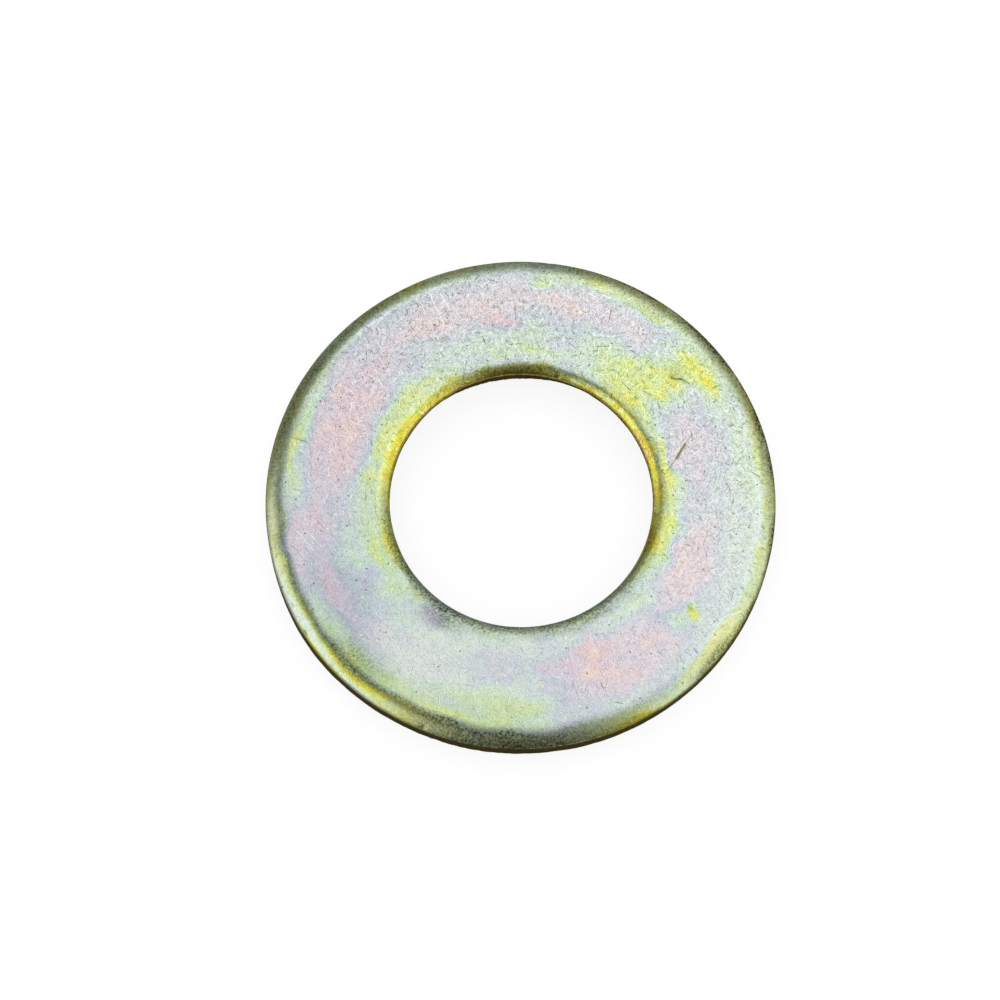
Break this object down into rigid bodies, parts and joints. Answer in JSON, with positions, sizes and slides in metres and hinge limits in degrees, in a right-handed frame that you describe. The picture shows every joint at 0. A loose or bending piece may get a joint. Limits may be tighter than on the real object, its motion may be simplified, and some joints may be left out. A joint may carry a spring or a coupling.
{
  "type": "flat washer",
  "caption": "Plain round flat washer stamped from steel sheet, with softly rolled edges on one face, a round bore and a yellow iridescent zinc finish.",
  "frame": {"origin": "centre of the bore on the burr side, the face that lies on the surface", "axes": "+Z along the bore, from the burr side to the rolled side; X and Y are free because the washer is round"},
  "size_m": [0.0206, 0.0206, 0.002],
  "materials": {
    "yellow_zinc_steel": "zinc plated and yellow passivated, satin, with a pale iridescence of pink, mint and yellow"
  },
  "bodies": {
    "root": {"washer": "yellow_zinc_steel"}
  },
  "joints": []
}
